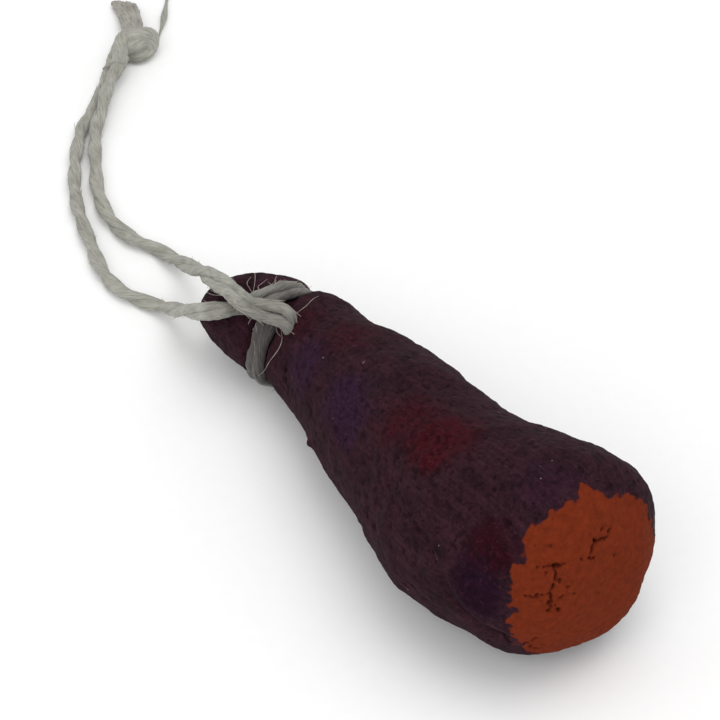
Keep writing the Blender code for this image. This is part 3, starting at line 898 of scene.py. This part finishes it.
# Long hairs round the head and neck, each as the places that it passes
LONG_HAIRS = [
    [(-14.66, -1.04, 8.6), (-13.87, -1.51, 8.3), (-13.7, -2.05, 7.6), (-14.09, -2.62, 6.4),
     (-14.74, -2.79, 4.9), (-15.9, -2.62, 3.4)],
    [(-14.63, 0.7, 9.7), (-14.57, 1.47, 10.0), (-14.84, 2.39, 10.1), (-15.32, 3.35, 9.6)],
    [(-22.26, 1.71, 8.3), (-20.93, 0.78, 8.8), (-20.15, 0.11, 8.8), (-19.31, -0.69, 8.9)],
    [(-21.64, 0.86, 8.6), (-21.12, 0.08, 8.7), (-20.24, -0.23, 8.8), (-19.47, -0.46, 8.9)],
    [(-23.37, 0.1, 7.8), (-22.05, -0.4, 8.3), (-20.63, -0.78, 8.8)],
    [(-20.35, 2.63, 8.75), (-19.64, 1.92, 9.0), (-18.76, 1.61, 9.2), (-18.2, 1.3, 9.4)],
    [(-19.33, 4.28, 8.05), (-18.35, 2.96, 9.2), (-18.1, 2.06, 9.5), (-17.9, 1.3, 9.5)],
    [(-24.53, -1.7, 6.8), (-23.27, -1.85, 7.2), (-21.51, -1.93, 7.9)],
    [(-24.3, -2.08, 6.65), (-23.04, -2.01, 7.1), (-21.52, -1.72, 8.0)],
    [(-17.72, -1.32, 8.1), (-17.96, -1.67, 7.9), (-18.1, -1.95, 7.3), (-17.95, -1.9, 6.75),
     (-17.65, -1.7, 7.0), (-17.6, -1.5, 7.6)],
    [(-15.31, -1.09, 8.7), (-14.83, -1.33, 8.4), (-14.23, -1.36, 8.35)],
    [(-13.84, -0.71, 8.9), (-12.84, -0.81, 9.05), (-12.5, -1.27, 8.65)],
    [(-18.83, 0.0, 9.3), (-19.76, 0.25, 9.1), (-20.12, 1.03, 8.95), (-20.29, 1.66, 8.95)],
    [(-18.45, 0.56, 9.4), (-18.97, 1.14, 9.25), (-19.88, 1.37, 9.05)],
    [(-11.43, 0.41, 9.85), (-11.1, 0.35, 9.95), (-10.8, 0.26, 9.95)],
]

# Single bast fibres: the same cream as the twine, a little glossier and browner
FIBRE_BROWN = "#8C7F79"
FIBRE_CREAM = "#B3AAA1"

loose_fibre, tree = new_material("loose_bast_fibre")
place = add_node(tree, "TexCoord", out="Object")
in_mm = add_node(tree, "VectorMath", {0: place, 1: (1 / MM,) * 3}, operation="MULTIPLY")
tone = add_node(tree, "TexNoise", {"Vector": in_mm, "Scale": 1.2, "Detail": 2.0})
tone = add_node(tree, "MapRange", {0: tone, 1: 0.35, 2: 0.65})
colour = add_node(
    tree, "Mix", {0: tone, 6: linear(FIBRE_BROWN), 7: linear(FIBRE_CREAM)}, 2, data_type="RGBA"
)
surface = add_node(tree, "BsdfPrincipled", {"Base Color": colour, "Roughness": 0.7, "IOR": 1.5})
add_node(tree, "OutputMaterial", {"Surface": surface})


def make_fibres(name, lines):
    """Many single loose fibres as one piece of thin closed tubes."""
    points, faces = [], []
    for line in lines:
        path = np.array(line, float)
        sides, ups = carried_frames(path)
        taper = HAIR / 2 * np.sin(np.linspace(0.35, math.pi - 0.2, len(path))) ** 0.5
        first = len(points)
        for p, a, b, r in zip(path, sides, ups, taper):
            for k in range(HAIR_CORNERS):
                turn = 2 * math.pi * k / HAIR_CORNERS
                points.append(p + r * (a * math.cos(turn) + b * math.sin(turn)))
        last = first + (len(path) - 1) * HAIR_CORNERS
        for here in range(first, last, HAIR_CORNERS):
            there = here + HAIR_CORNERS
            for k in range(HAIR_CORNERS):
                after = (k + 1) % HAIR_CORNERS
                faces.append((here + k, here + after, there + after, there + k))
        faces.append(tuple(first + k for k in reversed(range(HAIR_CORNERS))))
        faces.append(tuple(last + k for k in range(HAIR_CORNERS)))
    piece = make_mesh(name, points, faces)
    piece.data.materials.append(loose_fibre)
    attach(piece, "root")
    return piece


def stray_fibres(plies, hairs, seed):
    """Short hairs that leave a ply, curl a little and end in the air beside it."""
    per_mm, stand_off = hairs
    draw = np.random.default_rng(seed)
    lines = []
    for path, radius, _ in plies:
        sides, ups = carried_frames(path)
        size = np.broadcast_to(radius, len(path))
        for _ in range(round(per_mm * walked_along(path)[-1])):
            i = int(draw.integers(2, len(path) - 12))
            turn = draw.uniform(0, 2 * math.pi)
            out = sides[i] * math.cos(turn) + ups[i] * math.sin(turn)
            forward = path[i + 1] - path[i]
            forward /= np.linalg.norm(forward)
            length = draw.uniform(*SHORT_HAIR)
            lift = stand_off * draw.uniform(0.3, 1.0)
            curl = draw.uniform(-SHORT_HAIR_CURL, SHORT_HAIR_CURL)
            t = np.linspace(0, 1, SHORT_HAIR_POINTS)[:, None]
            line = path[i] + out * size[i] * 0.9 + forward * length * t
            line = line + out * lift * t**1.5 + np.cross(forward, out) * curl * t**2
            line[:, 2] = np.maximum(line[:, 2], LOWEST + HAIR)
            lines.append(line)
    return lines


upper_hairs = make_fibres("upper_hairs", stray_fibres(upper_plies, STRAND_HAIRS, seed=5))
lower_hairs = make_fibres("lower_hairs", stray_fibres(lower_plies, STRAND_HAIRS, seed=6))
end_hairs = make_fibres("end_hairs", stray_fibres(frayed_end, TAIL_HAIRS, seed=7))
neck_lines = [smooth_route(points, HAIR_STEP) for points in LONG_HAIRS]
neck_lines += stray_fibres(bend_plies, BEND_HAIRS, seed=8)
neck_lines += stray_fibres(ring_plies, RING_HAIRS, seed=9)
make_fibres("neck_hairs", neck_lines)


# ---------------------------------------------------------------------------
# Table, light and camera
# A plain pale surface under a soft overhead light, seen from above on the
# side of the cut end. Table, room and lamps are sized in metres.
# ---------------------------------------------------------------------------

FLOOR_HALF = 1.5
# The table lies a hair lower than the clay's flat belly, so that they share no plane.
FLOOR_DROP = 0.02 * MM
ROOM_LIGHT = 0.72
corners = [(-FLOOR_HALF, -FLOOR_HALF), (FLOOR_HALF, -FLOOR_HALF)]
corners += [(FLOOR_HALF, FLOOR_HALF), (-FLOOR_HALF, FLOOR_HALF)]
floor_mesh = bpy.data.meshes.new("table")
floor_mesh.from_pydata([(x, y, -FLOOR_DROP) for x, y in corners], [], [(0, 1, 2, 3)])
floor = bpy.data.objects.new("table", floor_mesh)
bpy.context.collection.objects.link(floor)

# Uncoated white card: dull, with a fine fleck of its paper fibres
white_card, tree = new_material("matt_white_card")
place = add_node(tree, "TexCoord", out="Object")
fleck = add_node(tree, "TexNoise", {"Vector": place, "Scale": 900.0, "Detail": 2.0})
shade = add_node(tree, "MapRange", {0: fleck, 3: 0.93, 4: 0.96})
surface = add_node(tree, "BsdfPrincipled", {"Base Color": shade, "Roughness": 0.9})
add_node(tree, "OutputMaterial", {"Surface": surface})
floor_mesh.materials.append(white_card)

world = bpy.data.worlds.new("soft_room")
bpy.context.scene.world = world
world.use_nodes = True
room = world.node_tree.nodes["Background"]
room.inputs["Color"].default_value = (1.0, 1.0, 1.0, 1.0)
room.inputs["Strength"].default_value = ROOM_LIGHT

# Two large soft lamps: where each stands, its size and its power
LAMPS = [
    ("top_lamp", (0.08, 0.10, 0.60), 0.50, 1.3),
    ("front_lamp", (0.30, -0.45, 0.40), 0.50, 1.2),
]
for name, stand, size, power in LAMPS:
    lamp_data = bpy.data.lights.new(name, "AREA")
    lamp_data.size = size
    lamp_data.energy = power
    lamp = bpy.data.objects.new(name, lamp_data)
    lamp.location = stand
    lamp.rotation_euler = (-Vector(stand)).to_track_quat("-Z", "Y").to_euler()
    bpy.context.collection.objects.link(lamp)
bpy.context.scene.view_settings.view_transform = "Standard"

# The camera, in millimetres again, looks down on the side of the cut end.
LOOK_AT = (-5.01, -0.04, 11.69)
AZIMUTH = math.radians(53.4)
ELEVATION = math.radians(42.0)
CAMERA_DISTANCE = 300.0
LENS = 185.25
SENSOR = 36.0
away = Vector((
    math.sin(AZIMUTH) * math.cos(ELEVATION),
    -math.cos(AZIMUTH) * math.cos(ELEVATION),
    math.sin(ELEVATION),
))
camera_data = bpy.data.cameras.new("camera")
camera_data.lens = LENS
camera_data.sensor_width = SENSOR
camera_data.clip_start = 10 * MM
camera_data.clip_end = 10.0
camera = bpy.data.objects.new("camera", camera_data)
camera.location = (Vector(LOOK_AT) + away * CAMERA_DISTANCE) * MM
camera.rotation_euler = away.to_track_quat("Z", "Y").to_euler()
bpy.context.collection.objects.link(camera)
bpy.context.scene.camera = camera
